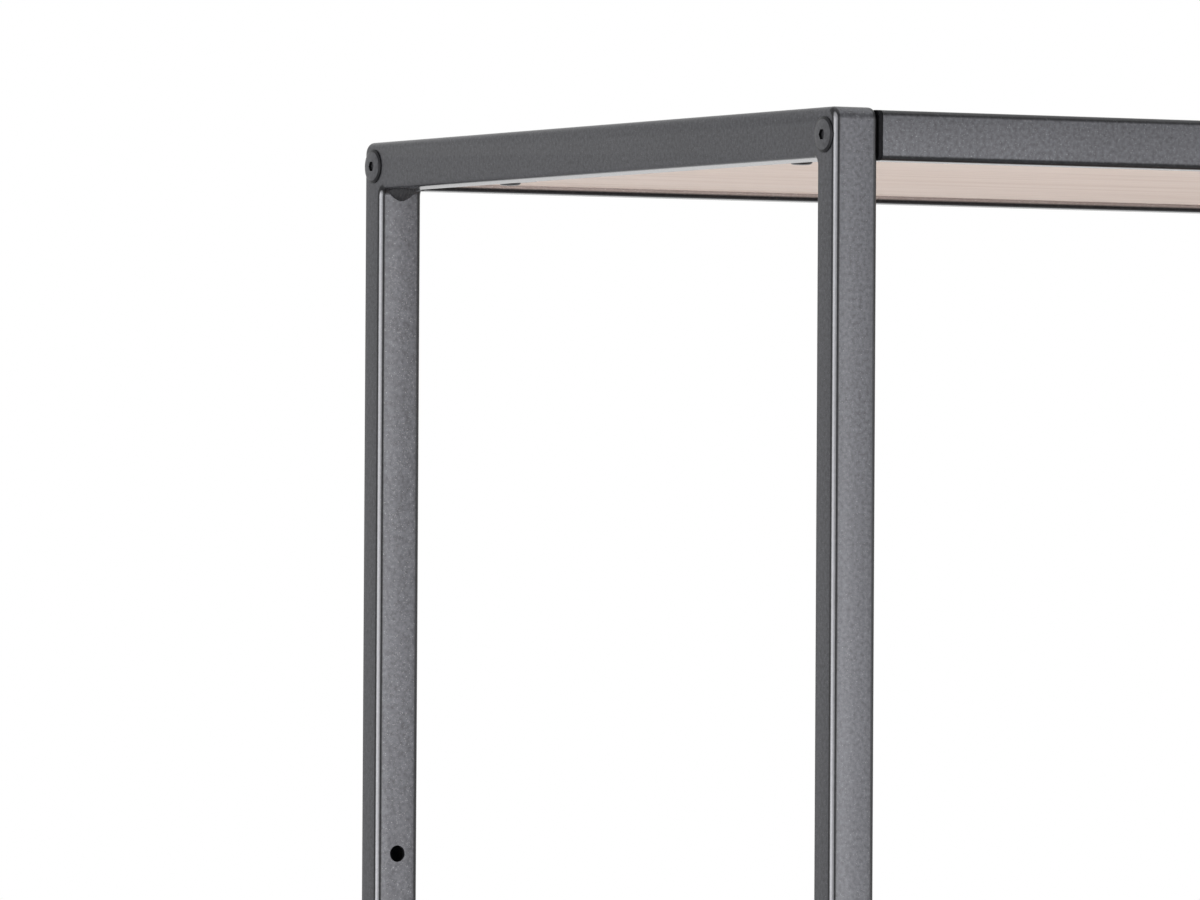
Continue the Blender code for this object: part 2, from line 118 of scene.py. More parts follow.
# The plastic feet, each with a ribbed plug up inside its post
FOOT_HEIGHT = 0.006
FOOT_EDGE = 0.001
FOOT_PLUG_ACROSS = 0.0152
FOOT_PLUG_DEPTH = 0.0102
FOOT_PLUG_CORNER = 0.001
FOOT_PLUG_HEIGHT = 0.0195
FOOT_PLUG_MIDDLE = 0.0147
FOOT_RIBS = 4
FOOT_RIB_REACH = 0.0005
FOOT_RIB_THICKNESS = 0.0012
FIRST_RIB_HEIGHT = 0.010
RIB_PITCH = 0.004

# Profiles that are turned about Z, as radius and height
SCREW_POINT = [(0, 0.012), (0.0017, 0.009), (0.0017, 0.0), (0.0045, 0.0)]
SCREW_HEAD = [(0.0045, -0.0005), (0.0041, -0.0010), (0.0032, -0.0013), (0, -0.0014)]
PEG_NOSE = [(0, 0.012), (0.0033, 0.012), (0.0041, 0.0117), (0.0045, 0.0110), (0.0045, 0.0)]
PEG_SHANK = [(0.0033, 0.0), (0.0033, -0.0092), (0.0028, -0.010), (0, -0.010)]

INSIDE_X = WIDTH / 2 - TUBE_ACROSS
INSIDE_Y = DEPTH / 2 - POST_DEPTH
FRAME_X = WIDTH / 2 - TUBE_ACROSS / 2
POST_Y = DEPTH / 2 - POST_DEPTH / 2
BOLT_Y = DEPTH / 2 - BOLT_INSET
LUG_Y = DEPTH / 2 - LUG_INSET
SCREW_X = INSIDE_X - SCREW_INSET

# The photograph's camera, with its turns in degrees and its lens in millimetres
CAMERA_PLACE = (-2.6004, -4.0057, HEIGHT - 0.2147)
CAMERA_YAW = 28.838
CAMERA_PITCH = 1.022
CAMERA_ROLL = 0.324
CAMERA_LENS = 334.70
SENSOR_WIDTH = 36

# The room and its floor
WHITE = (1, 1, 1, 1)
ROOM_COLOUR = (0.80, 0.82, 0.86, 1)
ROOM_LIGHT = 0.35
FLOOR_COLOUR = (0.80, 0.80, 0.80, 1)
FLOOR_REACH = 900
FLOOR_DROP = 0.0003
FLOOR_LIFT = 0.30
FLOOR_BOUNCE = 0.47

# What a coat's tone is multiplied by as painted shade beside its edges, what darkens the bevel round
# the bolt heads, the painted highlight added on outer upright edges, and the painted reflection of the
# wood added on the back rails
PAINTED_BAND_SHADE = (0.26, 0.26, 0.26, 1)
BEVEL_SHADE = (0.15, 0.15, 0.16, 1)
PAINTED_CREST_HIGHLIGHT = (0.18, 0.18, 0.187, 1)
PAINTED_WOOD_REFLECTION = (0.13, 0.095, 0.078, 1)

# A drawing's x and y become world Y and Z, and its thickness runs along X
SIDE_VIEW = Matrix(((0, 0, 1, 0), (1, 0, 0, 0), (0, 1, 0, 0), (0, 0, 0, 1)))


# Camera and studio


def photo_camera():
    """The photograph's own viewpoint: low, far off to the left front, through a long lens."""
    yaw, pitch, roll = (math.radians(turn) for turn in (CAMERA_YAW, CAMERA_PITCH, CAMERA_ROLL))
    ahead = Vector(
        (math.sin(yaw) * math.cos(pitch), math.cos(yaw) * math.cos(pitch), math.sin(pitch))
    )
    level = Vector((math.cos(yaw), -math.sin(yaw), 0))
    above = level.cross(ahead)
    right = math.cos(roll) * level + math.sin(roll) * above
    up = math.cos(roll) * above - math.sin(roll) * level
    turn = Matrix((right, up, -ahead)).transposed().to_4x4()
    data = bpy.data.cameras.new("photo_camera")
    data.lens = CAMERA_LENS
    data.sensor_width = SENSOR_WIDTH
    data.clip_start = 0.1
    data.clip_end = 2000
    camera = bpy.data.objects.new("photo_camera", data)
    bpy.context.scene.collection.objects.link(camera)
    camera.matrix_world = Matrix.Translation(CAMERA_PLACE) @ turn
    bpy.context.scene.camera = camera


def softbox(name, place, aim, width, height, power):
    """A plain white lamp, turned towards its aim."""
    data = bpy.data.lights.new(name, "AREA")
    data.shape = "RECTANGLE"
    data.size = width
    data.size_y = height
    data.energy = power
    light = bpy.data.objects.new(name, data)
    light.location = place
    light.rotation_euler = (Vector(aim) - Vector(place)).to_track_quat("-Z", "Y").to_euler()
    bpy.context.scene.collection.objects.link(light)


class Nodes:
    """Adds nodes to a tree and joins them up, one statement a node."""

    def __init__(self, tree):
        self.tree = tree
        self.column = 0

    def add(self, kind, **settings):
        node = self.tree.nodes.new(kind)
        node.location = (self.column * 200, 0)
        self.column += 1
        for name, value in settings.items():
            setattr(node, name, value)
        return node

    def fill(self, socket, value):
        if isinstance(value, bpy.types.NodeSocket):
            self.tree.links.new(value, socket)
        elif isinstance(value, bpy.types.Node):
            self.tree.links.new(value.outputs[0], socket)
        else:
            socket.default_value = value

    def join(self, node, **inputs):
        for name, value in inputs.items():
            self.fill(node.inputs[name.replace("_", " ")], value)
        return node

    def math(self, operation, *values, clamp=False):
        node = self.add("ShaderNodeMath", operation=operation, use_clamp=clamp)
        for socket, value in zip(node.inputs, values):
            self.fill(socket, value)
        return node.outputs[0]

    def noise(self, coordinates, scale, detail=2.0, roughness=0.5):
        node = self.add("ShaderNodeTexNoise")
        self.join(node, Vector=coordinates, Scale=scale, Detail=detail, Roughness=roughness)
        return node.outputs["Fac"]

    def stretch(self, coordinates, scale, turn=(0, 0, 0), shift=(0, 0, 0)):
        node = self.add("ShaderNodeMapping")
        self.join(node, Vector=coordinates, Scale=scale, Rotation=turn, Location=shift)
        return node.outputs[0]

    def ramp(self, factor, *stops):
        node = self.add("ShaderNodeValToRGB")
        self.fill(node.inputs[0], factor)
        elements = node.color_ramp.elements
        while len(elements) < len(stops):
            elements.new(0.5)
        for element, (position, colour) in zip(elements, stops):
            element.position = position
            element.color = colour if len(colour) == 4 else (*colour, 1)
        return node.outputs[0]

    def grey_ramp(self, factor, *stops):
        return self.ramp(factor, *((at, (level, level, level)) for at, level in stops))

    def span(self, factor, low, high, start=0.0, stop=1.0):
        node = self.add("ShaderNodeMapRange")
        self.join(node, Value=factor, From_Min=start, From_Max=stop, To_Min=low, To_Max=high)
        return node.outputs[0]

    def blend(self, factor, first, second, how="MIX"):
        node = self.add("ShaderNodeMix", data_type="RGBA", blend_type=how)
        self.fill(node.inputs["Factor"], factor)
        sockets = [s for s in node.inputs if s.type == "RGBA"]
        self.fill(sockets[0], first)
        self.fill(sockets[1], second)
        return next(s for s in node.outputs if s.type == "RGBA")

    def darken(self, mask, tone, factor):
        return self.blend(mask, tone, self.blend(1.0, tone, factor, "MULTIPLY"))

    def lighten(self, mask, tone, light):
        return self.blend(mask, tone, self.blend(1.0, tone, light, "ADD"))

    def parts(self, vector):
        node = self.add("ShaderNodeSeparateXYZ")
        return self.join(node, Vector=vector).outputs

    def facing(self):
        """X, Y and Z of the way that the surface faces."""
        return self.parts(self.add("ShaderNodeTexCoord").outputs["Normal"])

    def glow(self, strength):
        node = self.add("ShaderNodeEmission")
        return self.join(node, Color=WHITE, Strength=strength)

    def either(self, factor, first, second):
        """The first shader where the factor is 0, and the second where it is 1."""
        node = self.add("ShaderNodeMixShader")
        for socket, value in zip(node.inputs, (factor, first, second)):
            self.fill(socket, value)
        return node


def seen_directly(nodes):
    """1 for the camera, and in reflections and glass. 0 where light falls on other surfaces."""
    path = nodes.add("ShaderNodeLightPath")
    seen = nodes.math("ADD", path.outputs["Is Camera Ray"], path.outputs["Is Glossy Ray"])
    return nodes.math("ADD", seen, path.outputs["Is Transmission Ray"], clamp=True)


def white_world():
    """White to the camera and in reflections, and a softer grey as a light on the object."""
    world = bpy.data.worlds.new("white_room")
    bpy.context.scene.world = world
    world.use_nodes = True
    nodes = Nodes(world.node_tree)
    world.node_tree.nodes.clear()
    plain = nodes.add("ShaderNodeBackground")
    nodes.join(plain, Color=ROOM_COLOUR, Strength=ROOM_LIGHT)
    white = nodes.add("ShaderNodeBackground")
    nodes.join(white, Color=WHITE, Strength=1.0)
    mix = nodes.either(seen_directly(nodes), plain, white)
    nodes.join(nodes.add("ShaderNodeOutputWorld"), Surface=mix)


def studio_floor():
    """A very wide pale floor. Far off it is plain white, and near the bookcase it keeps the shadow."""
    shape = bmesh.new()
    bmesh.ops.create_grid(shape, x_segments=8, y_segments=8, size=FLOOR_REACH)
    mesh = bpy.data.meshes.new("studio_floor")
    shape.to_mesh(mesh)
    shape.free()
    floor = bpy.data.objects.new("studio_floor", mesh)
    floor.location = (0, 0, -FLOOR_DROP)
    bpy.context.scene.collection.objects.link(floor)
    material = bpy.data.materials.new("pale_floor")
    material.use_nodes = True
    material.node_tree.nodes.clear()
    nodes = Nodes(material.node_tree)
    where = nodes.add("ShaderNodeTexCoord").outputs["Object"]
    distance = nodes.add("ShaderNodeVectorMath", operation="LENGTH")
    nodes.fill(distance.inputs[0], where)
    far = nodes.add("ShaderNodeMapRange", interpolation_type="SMOOTHSTEP")
    nodes.join(far, Value=distance.outputs["Value"], From_Min=1.6, From_Max=6.0)
    matt = nodes.add("ShaderNodeBsdfDiffuse")
    nodes.join(matt, Color=FLOOR_COLOUR)
    seen = seen_directly(nodes)
    clear = nodes.span(distance.outputs["Value"], 0.0, FLOOR_BOUNCE, start=0.5, stop=1.4)
    near = nodes.add("ShaderNodeAddShader")
    nodes.fill(near.inputs[0], matt)
    nodes.fill(near.inputs[1], nodes.either(seen, nodes.glow(clear), nodes.glow(FLOOR_LIFT)))
    white_far_off = nodes.math("MULTIPLY", far.outputs[0], seen)
    mix = nodes.either(white_far_off, near, nodes.glow(1.0))
    nodes.join(nodes.add("ShaderNodeOutputMaterial"), Surface=mix)
    mesh.materials.append(material)


# Finishes


def new_finish(name):
    material = bpy.data.materials.new(name)
    material.use_nodes = True
    nodes = Nodes(material.node_tree)
    shader = material.node_tree.nodes["Principled BSDF"]
    where = nodes.add("ShaderNodeTexCoord").outputs["Object"]
    return material, nodes, shader, where


def bump(nodes, shader, height, strength, depth):
    node = nodes.add("ShaderNodeBump")
    nodes.join(node, Height=height, Strength=strength, Distance=depth)
    nodes.join(shader, Normal=node)


def rounded_edges(nodes, where):
    """Masks for painted light along the coat's edges. Along upright edges, the crest for a painted
    highlight, on the outer ones alone, and the bands beside it for painted shade. Along the edges that
    run across, how far they slope, for painted shade. Last, the undersides."""
    facing = nodes.facing()
    side = nodes.math("SIGN", nodes.parts(where)["X"])
    outward = nodes.math("MULTIPLY", facing["X"], side)
    y = nodes.math("ABSOLUTE", facing["Y"])
    z = nodes.math("ABSOLUTE", facing["Z"])
    outer = nodes.math("MULTIPLY", outward, y)
    crest = nodes.span(outer, 0.0, 1.0, start=0.36, stop=0.44)
    edge = nodes.span(nodes.math("ABSOLUTE", outer), 0.0, 1.0, start=0.03, stop=0.11)
    slope = nodes.span(nodes.math("MULTIPLY", y, z), 0.0, 1.0, start=0.10, stop=0.35)
    under = nodes.span(facing["Z"], 1.0, 0.0, start=-0.98, stop=-0.85)
    return crest, nodes.math("SUBTRACT", edge, crest, clamp=True), slope, under


def painted_wood_reflection_mask(nodes, where):
    """Where a painted reflection of the wood's warm colour goes, on the back rails' inner lower edges.
    """
    facing = nodes.facing()
    behind = nodes.math("GREATER_THAN", nodes.parts(where)["Y"], 0.0)
    forward = nodes.math("LESS_THAN", facing["Y"], -0.5)
    turned_under = nodes.span(facing["Z"], 0.0, 1.0, start=-0.42, stop=-0.12)
    below = nodes.math("LESS_THAN", facing["Z"], -0.04)
    glow = nodes.math("MULTIPLY", nodes.math("MULTIPLY", behind, forward), turned_under)
    return nodes.math("MULTIPLY", glow, below)


def coated_steel(name, strength, slope_shade, paint_wood_reflection):
    """Dark grey powder coat with a fine metallic speckle, and painted light along its edges: a painted
    highlight on the crests of outer upright edges and painted shade in bands beside them. The edges
    that run across are darkened by slope_shade as painted shade, and on the back rails beside the wood
    a painted reflection of its warm colour is added."""
    material, nodes, shader, where = new_finish(name)
    mottle = nodes.noise(where, 620, detail=3, roughness=0.6)
    dark = (0.038 * strength, 0.038 * strength, 0.042 * strength)
    light = (0.084 * strength, 0.085 * strength, 0.094 * strength)
    tone = nodes.ramp(mottle, (0.28, dark), (0.74, light))
    cloud = nodes.noise(where, 16, detail=2)
    tone = nodes.blend(0.35, tone, nodes.grey_ramp(cloud, (0.3, 0.42), (0.7, 0.58)), "OVERLAY")
    fleck = nodes.noise(where, 2100, detail=1)
    flecks = nodes.grey_ramp(fleck, (0.66, 0.0), (0.76, 0.12))
    tone = nodes.blend(1.0, tone, flecks, "ADD")
    crest, band, slope, under = rounded_edges(nodes, where)
    # Painted shade beside the upright edges, a painted highlight on the outer crests, and painted
    # shade on the edges that run across
    tone = nodes.darken(band, tone, PAINTED_BAND_SHADE)
    tone = nodes.lighten(crest, tone, PAINTED_CREST_HIGHLIGHT)
    tone = nodes.darken(slope, tone, (slope_shade, slope_shade, slope_shade, 1))
    # A painted reflection of the wood's warm colour on the back rails' inner lower edges
    if paint_wood_reflection:
        tone = nodes.lighten(painted_wood_reflection_mask(nodes, where), tone, PAINTED_WOOD_REFLECTION)
    nodes.join(shader, Base_Color=tone, Metallic=0.65, Specular_IOR_Level=0.3)
    nodes.join(shader, Coat_Weight=0.12, Coat_Roughness=0.15)
    rough = nodes.math("MULTIPLY_ADD", crest, -0.03, nodes.span(mottle, 0.31, 0.41))
    nodes.join(shader, Roughness=nodes.math("MULTIPLY_ADD", under, -0.14, rough))
    bump(nodes, shader, nodes.noise(where, 800, detail=2), 0.08, 0.0003)
    return material


def weld_coat_painted_shade():
    """The same coat over a weld, painted darker as shade in the corners where the welds lie."""
    material, nodes, shader, where = new_finish("coat_over_weld")
    mottle = nodes.noise(where, 480, detail=3, roughness=0.6)
    tone = nodes.ramp(mottle, (0.3, (0.016, 0.016, 0.018)), (0.7, (0.038, 0.038, 0.041)))
    nodes.join(shader, Base_Color=tone, Specular_IOR_Level=0.25)
    nodes.join(shader, Roughness=nodes.span(mottle, 0.55, 0.70))
    bump(nodes, shader, mottle, 0.3, 0.0006)
    return material


def pale_wood():
    """Pale pinkish veneer with its grain along the bookcase's width."""
    material, nodes, shader, where = new_finish("pale_wood_veneer")
    bend = nodes.noise(nodes.stretch(where, (1.2, 4.0, 4.0)), 3.0, detail=2)
    across = nodes.stretch(where, (0.55, 9.0, 9.0), shift=(0.3, 0.11, 0.4))
    rings = nodes.noise(across, 2.2, detail=2)
    rings = nodes.math("ADD", nodes.math("MULTIPLY", rings, 14.0), nodes.math("MULTIPLY", bend, 3.0))
    rings = nodes.math("PINGPONG", rings, 1.0)
    tone = nodes.ramp(
        rings,
        (0.0, (0.690, 0.556, 0.478)),
        (0.35, (0.730, 0.602, 0.526)),
        (1.0, (0.748, 0.624, 0.550)),
    )
    streak = nodes.noise(nodes.stretch(where, (7.0, 420.0, 420.0)), 1.0, detail=4, roughness=0.6)
    streaks = nodes.grey_ramp(streak, (0.25, 0.93), (0.60, 1.0))
    tone = nodes.blend(0.8, tone, streaks, "MULTIPLY")
    pore = nodes.noise(nodes.stretch(where, (38.0, 1500.0, 1500.0)), 1.0, detail=1)
    pores = nodes.grey_ramp(pore, (0.27, 0.72), (0.36, 1.0))
    tone = nodes.blend(0.7, tone, pores, "MULTIPLY")
    nodes.join(shader, Base_Color=tone)
    nodes.join(shader, Roughness=nodes.span(streak, 0.62, 0.48))
    bump(nodes, shader, nodes.math("MULTIPLY", streaks, pores), 0.15, 0.0002)
    return material


def black_plastic():
    material, nodes, shader, where = new_finish("black_plastic_grain")
    grain = nodes.noise(where, 900, detail=2)
    tone = nodes.ramp(grain, (0.3, (0.004, 0.004, 0.005)), (0.7, (0.011, 0.011, 0.012)))
    nodes.join(shader, Base_Color=tone, Specular_IOR_Level=0.06)
    nodes.join(shader, Roughness=nodes.span(grain, 0.62, 0.80))
    bump(nodes, shader, grain, 0.15, 0.0003)
    return material


def grey_bolt_coat():
    """Grey coated steel, and near-black on the bevel round the head."""
    material, nodes, shader, where = new_finish("grey_coated_bolt_steel")
    grain = nodes.noise(where, 700, detail=3)
    tone = nodes.ramp(grain, (0.3, (0.052, 0.052, 0.056)), (0.75, (0.100, 0.101, 0.108)))
    across = nodes.math("ABSOLUTE", nodes.facing()["X"])
    bevel = nodes.span(across, 1.0, 0.0, start=0.935, stop=0.975)
    tone = nodes.darken(bevel, tone, BEVEL_SHADE)
    nodes.join(shader, Base_Color=tone, Metallic=0.65, Specular_IOR_Level=0.3)
    nodes.join(shader, Roughness=nodes.span(grain, 0.30, 0.42))
    bump(nodes, shader, grain, 0.10, 0.0002)
    return material


def plain_steel(name, dark, light):
    material, nodes, shader, where = new_finish(name)
    grain = nodes.noise(nodes.stretch(where, (1, 1, 3)), 600, detail=3)
    tone = nodes.ramp(grain, (0.3, (dark, dark, dark * 1.03)), (0.75, (light, light, light * 1.04)))
    nodes.join(shader, Base_Color=tone, Metallic=0.9)
    nodes.join(shader, Roughness=nodes.span(grain, 0.22, 0.38))
    bump(nodes, shader, grain, 0.08, 0.0001)
    return material


# Shapes


def scratch(name, data):
    obj = bpy.data.objects.new(name, data)
    bpy.context.scene.collection.objects.link(obj)
    return obj


def baked(obj, name):
    """The object's finished shape as a plain closed mesh in world metres. The object goes."""
    bpy.context.view_layer.update()
    graph = bpy.context.evaluated_depsgraph_get()
    mesh = bpy.data.meshes.new_from_object(obj.evaluated_get(graph))
    mesh.name = name
    mesh.transform(obj.matrix_world)
    bpy.data.objects.remove(obj)
    shape = bmesh.new()
    shape.from_mesh(mesh)
    bmesh.ops.remove_doubles(shape, verts=shape.verts, dist=1e-6)
    bmesh.ops.recalc_face_normals(shape, faces=shape.faces)
    shape.to_mesh(mesh)
    shape.free()
    return mesh


def arc(centre, radius, first, last, steps=8):
    points = []
    for step in range(steps + 1):
        angle = math.radians(first + (last - first) * step / steps)
        points.append(
            (centre[0] + radius * math.cos(angle), centre[1] + radius * math.sin(angle))
        )
    return points


def rounded_box(low, high, radius, steps=8):
    centres = (
        (high[0] - radius, high[1] - radius),
        (low[0] + radius, high[1] - radius),
        (low[0] + radius, low[1] + radius),
        (high[0] - radius, low[1] + radius),
    )
    points = []
    for quarter, centre in enumerate(centres):
        points += arc(centre, radius, quarter * 90, quarter * 90 + 90, steps)
    return points


def rounded_plan(across, up, radius):
    """A rounded box whose middle is the origin."""
    return rounded_box((-across / 2, -up / 2), (across / 2, up / 2), radius)


def drawn(name, outlines, thickness, place, edge=0.0, rounds=8):
    """A flat drawing made thick, with its rims rounded."""
    curve = bpy.data.curves.new(name, "CURVE")
    curve.dimensions = "2D"
    curve.fill_mode = "BOTH"
    curve.extrude = thickness / 2 - edge
    curve.bevel_depth = edge
    curve.bevel_resolution = rounds
    curve.offset = -edge
    for outline in outlines:
        spline = curve.splines.new("POLY")
        spline.points.add(len(outline) - 1)
        for point, (across, up) in zip(spline.points, outline):
            point.co = (across, up, 0, 1)
        spline.use_cyclic_u = True
    obj = scratch(name, curve)
    obj.matrix_world = place
    return baked(obj, name)


def box_mesh(name, low, high):
    low, high = Vector(low), Vector(high)
    shape = bmesh.new()
    place = Matrix.Translation((low + high) / 2) @ Matrix.Diagonal((high - low).to_4d())
    bmesh.ops.create_cube(shape, size=1, matrix=place)
    mesh = bpy.data.meshes.new(name)
    shape.to_mesh(mesh)
    shape.free()
    return mesh


def rod_mesh(name, radius, start, end, sides=32):
    start, end = Vector(start), Vector(end)
    along = end - start
    turn = Vector((0, 0, 1)).rotation_difference(along).to_matrix().to_4x4()
    shape = bmesh.new()
    bmesh.ops.create_cone(
        shape,
        cap_ends=True,
        segments=sides,
        radius1=radius,
        radius2=radius,
        depth=along.length,
        matrix=Matrix.Translation((start + end) / 2) @ turn,
    )
    mesh = bpy.data.meshes.new(name)
    shape.to_mesh(mesh)
    shape.free()
    return mesh


def turned(name, profile, sides=48):
    """A profile of radius and height, turned about Z."""
    shape = bmesh.new()
    points = [shape.verts.new((radius, 0, height)) for radius, height in profile]
    lines = [shape.edges.new(pair) for pair in zip(points, points[1:])]
    bmesh.ops.spin(
        shape,
        geom=points + lines,
        axis=(0, 0, 1),
        cent=(0, 0, 0),
        steps=sides,
        angle=2 * math.pi,
    )
    bmesh.ops.remove_doubles(shape, verts=shape.verts, dist=1e-6)
    bmesh.ops.recalc_face_normals(shape, faces=shape.faces)
    mesh = bpy.data.meshes.new(name)
    shape.to_mesh(mesh)
    shape.free()
    return mesh


def cut(mesh, cutters, operation="DIFFERENCE"):
    """The mesh with every cutter taken away, or added."""
    obj = scratch(mesh.name + "_blank", mesh)
    tools = bpy.data.collections.new("tools")
    bpy.context.scene.collection.children.link(tools)
    for cutter in cutters:
        tools.objects.link(bpy.data.objects.new(cutter.name, cutter))
    modifier = obj.modifiers.new("cut", "BOOLEAN")
    modifier.operation = operation
    modifier.solver = "EXACT"
    modifier.operand_type = "COLLECTION"
    modifier.collection = tools
    result = baked(obj, mesh.name)
    for tool in list(tools.objects):
        bpy.data.objects.remove(tool)
    bpy.data.collections.remove(tools)
    return result


def joined(name, meshes):
    shape = bmesh.new()
    for mesh in meshes:
        shape.from_mesh(mesh)
    whole = bpy.data.meshes.new(name)
    shape.to_mesh(whole)
    shape.free()
    return whole


def keep(name, mesh, finish, slot, body, *nodes):
    """A finished piece of the bookcase, which takes the place of those nodes."""
    mesh.materials.clear()
    mesh.materials.append(finish)
    mesh.shade_smooth()
    mesh.set_sharp_from_angle(angle=math.radians(35))
    piece = scratch(name, mesh)
    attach(piece, body)
    if nodes:
        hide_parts(*nodes)


def rail_centre(level, end):
    return LEVELS[level] - RAIL_DROPS[end] - RAIL_HEIGHT / 2


def lug_top(level):
    return LEVELS[level] - RAIL_HEIGHT + PANEL_LIFT - GAP


def frame_drawing():
    """Side view of a side frame: its outer line, and its two windows."""
    half = DEPTH / 2
    leg = POST_DEPTH
    under = LEVELS["bottom"] - RAIL_HEIGHT
    foot = FOOT_HEIGHT - 2 * TUBE_EDGE
    outer = [(-half, foot), (-half + leg, foot)]
    outer += arc((-half + leg + WINDOW_CORNER, under - WINDOW_CORNER), WINDOW_CORNER, 180, 90)
    outer += arc((half - leg - WINDOW_CORNER, under - WINDOW_CORNER), WINDOW_CORNER, 90, 0)
    outer += [(half - leg, foot), (half, foot)]
    outer += arc((half - FRAME_CORNER, HEIGHT - FRAME_CORNER), FRAME_CORNER, 0, 90)
    outer += arc((-half + FRAME_CORNER, HEIGHT - FRAME_CORNER), FRAME_CORNER, 90, 180)
    outlines = [outer]
    tops = sorted(LEVELS.values())
    for below, above in zip(tops, tops[1:]):
        low = (-half + leg, below)
        high = (half - leg, above - RAIL_HEIGHT)
        outlines.append(rounded_box(low, high, WINDOW_CORNER))
    return outlines


def frame_lug(side, end, level):
    middle = (side * (INSIDE_X - LUG_REACH), end * LUG_Y, lug_top(level) - LUG_THICKNESS / 2)
    plan = rounded_plan(LUG_ACROSS, LUG_LENGTH, LUG_CORNER)
    return drawn("lug", [plan], LUG_THICKNESS, Matrix.Translation(middle), LUG_EDGE, 1)


def fastener_holes(side, end, level):
    """The bolt's hole through a post, and the screw's hole through a lug."""
    height = rail_centre(level, end)
    start = (side * (INSIDE_X - OVERSHOOT), end * BOLT_Y, height)
    stop = (side * (WIDTH / 2 + OVERSHOOT), end * BOLT_Y, height)
    under = (side * SCREW_X, end * LUG_Y, lug_top(level) - 2 * OVERSHOOT)
    over = (side * SCREW_X, end * LUG_Y, lug_top(level) + OVERSHOOT)
    return [
        rod_mesh("bolt_hole", BOLT_HOLE_RADIUS, start, stop),
        rod_mesh("screw_hole", SCREW_HOLE_RADIUS, under, over),
    ]


def side_frame(side_name, side, finish):
    """Posts, cross rails and lugs as one hollow welded frame, open at its feet."""
    name = side_name + "_frame_tubes"
    place = Matrix.Translation((side * FRAME_X, 0, 0)) @ SIDE_VIEW
    tubes = drawn(name, frame_drawing(), TUBE_ACROSS, place, TUBE_EDGE)
    lugs, cutters = [], []
    inner = (FRAME_X - TUBE_ACROSS / 2 + TUBE_WALL, FRAME_X + TUBE_ACROSS / 2 - TUBE_WALL)
    low_x, high_x = sorted(side * x for x in inner)
    reach = INSIDE_Y + 2 * TUBE_WALL
    for level, top in LEVELS.items():
        low = (low_x, -reach, top - RAIL_HEIGHT + TUBE_WALL)
        cutters.append(box_mesh("hollow", low, (high_x, reach, top - TUBE_WALL)))
        for end in ENDS.values():
            cutters += fastener_holes(side, end, level)
            lugs.append(frame_lug(side, end, level))
    for end in ENDS.values():
        low_y, high_y = sorted(end * y for y in (INSIDE_Y + TUBE_WALL, DEPTH / 2 - TUBE_WALL))
        low = (low_x, low_y, -OVERSHOOT)
        cutters.append(box_mesh("hollow", low, (high_x, high_y, HEIGHT - TUBE_WALL)))
        for height in HOLES:
            start = (side * FRAME_X, end * (INSIDE_Y - OVERSHOOT), height)
            stop = (side * FRAME_X, end * POST_Y, height)
            cutters.append(rod_mesh("hole", HOLE_RADIUS, start, stop))
    low_x, high_x = sorted((side * (FRAME_X - TUBE_ACROSS), side * (FRAME_X + TUBE_ACROSS)))
    low = (low_x, -DEPTH, -FOOT_HEIGHT)
    cutters.append(box_mesh("foot_end", low, (high_x, DEPTH, FOOT_HEIGHT)))
    tubes = cut(cut(tubes, lugs, "UNION"), cutters)
    keep(name, tubes, finish, "coated_steel", "frame", "side_frame_" + side_name)


def long_rails(finish):
    """The six bolted rails: straight lengths of tube with sawn ends."""
    length = 2 * (INSIDE_X - 2 * GAP - PLUG_FLANGE)
    outer = rounded_plan(RAIL_DEPTH, RAIL_HEIGHT, TUBE_EDGE)
    bore = (RAIL_DEPTH - 2 * TUBE_WALL, RAIL_HEIGHT - 2 * TUBE_WALL)
    inner = rounded_plan(*bore, TUBE_EDGE - TUBE_WALL)
    tubes, nodes = [], []
    for level in LEVELS:
        for end_name, end in ENDS.items():
            middle = (0, end * (DEPTH / 2 - RAIL_DEPTH / 2), rail_centre(level, end))
            place = Matrix.Translation(middle) @ SIDE_VIEW
            tubes.append(drawn("tube", [outer, inner], length, place))
            nodes.append(f"{level}_{end_name}_rail")
    keep("long_rails", joined("long_rails", tubes), finish, "coated_steel", "frame", *nodes)


# Fasteners and beads, laid out by Geometry Nodes


def new_tree(name, *inputs):
    tree = bpy.data.node_groups.new(name, "GeometryNodeTree")
    tree.interface.new_socket(name="Geometry", in_out="INPUT", socket_type="NodeSocketGeometry")
    tree.interface.new_socket(name="Geometry", in_out="OUTPUT", socket_type="NodeSocketGeometry")
    for label, kind in inputs:
        tree.interface.new_socket(name=label, in_out="INPUT", socket_type="NodeSocket" + kind)
    nodes = Nodes(tree)
    return tree, nodes, nodes.add("NodeGroupInput"), nodes.add("NodeGroupOutput")


def place_copies(nodes, points, copies, finish, out):
    """Copies on each point, turned as the point says, made real and given their finish."""
    turn = nodes.add("GeometryNodeInputNamedAttribute", data_type="FLOAT_VECTOR")
    nodes.join(turn, Name="turn")
    spread = nodes.add("GeometryNodeInstanceOnPoints")
    nodes.join(spread, Points=points, Instance=copies, Rotation=turn.outputs["Attribute"])
    real = nodes.add("GeometryNodeRealizeInstances")
    nodes.join(real, Geometry=spread)
    coat = nodes.add("GeometryNodeSetMaterial")
    nodes.join(coat, Geometry=real, Material=finish)
    nodes.fill(out.inputs[0], coat)


def fastener_tree():
    """Puts one fastener on each point."""
    inputs = (("Fastener", "Object"), ("Size", "Float"), ("Finish", "Material"))
    tree, nodes, given, out = new_tree("fasteners_in_place", *inputs)
    master = nodes.add("GeometryNodeObjectInfo")
    nodes.join(master, Object=given.outputs["Fastener"], As_Instance=True)
    sized = nodes.add("GeometryNodeTransform")
    scale = nodes.add("ShaderNodeCombineXYZ")
    nodes.join(scale, X=given.outputs["Size"], Y=given.outputs["Size"], Z=given.outputs["Size"])
    nodes.join(sized, Geometry=master.outputs["Geometry"], Scale=scale)
    place_copies(nodes, given.outputs["Geometry"], sized, given.outputs["Finish"], out)
    return tree


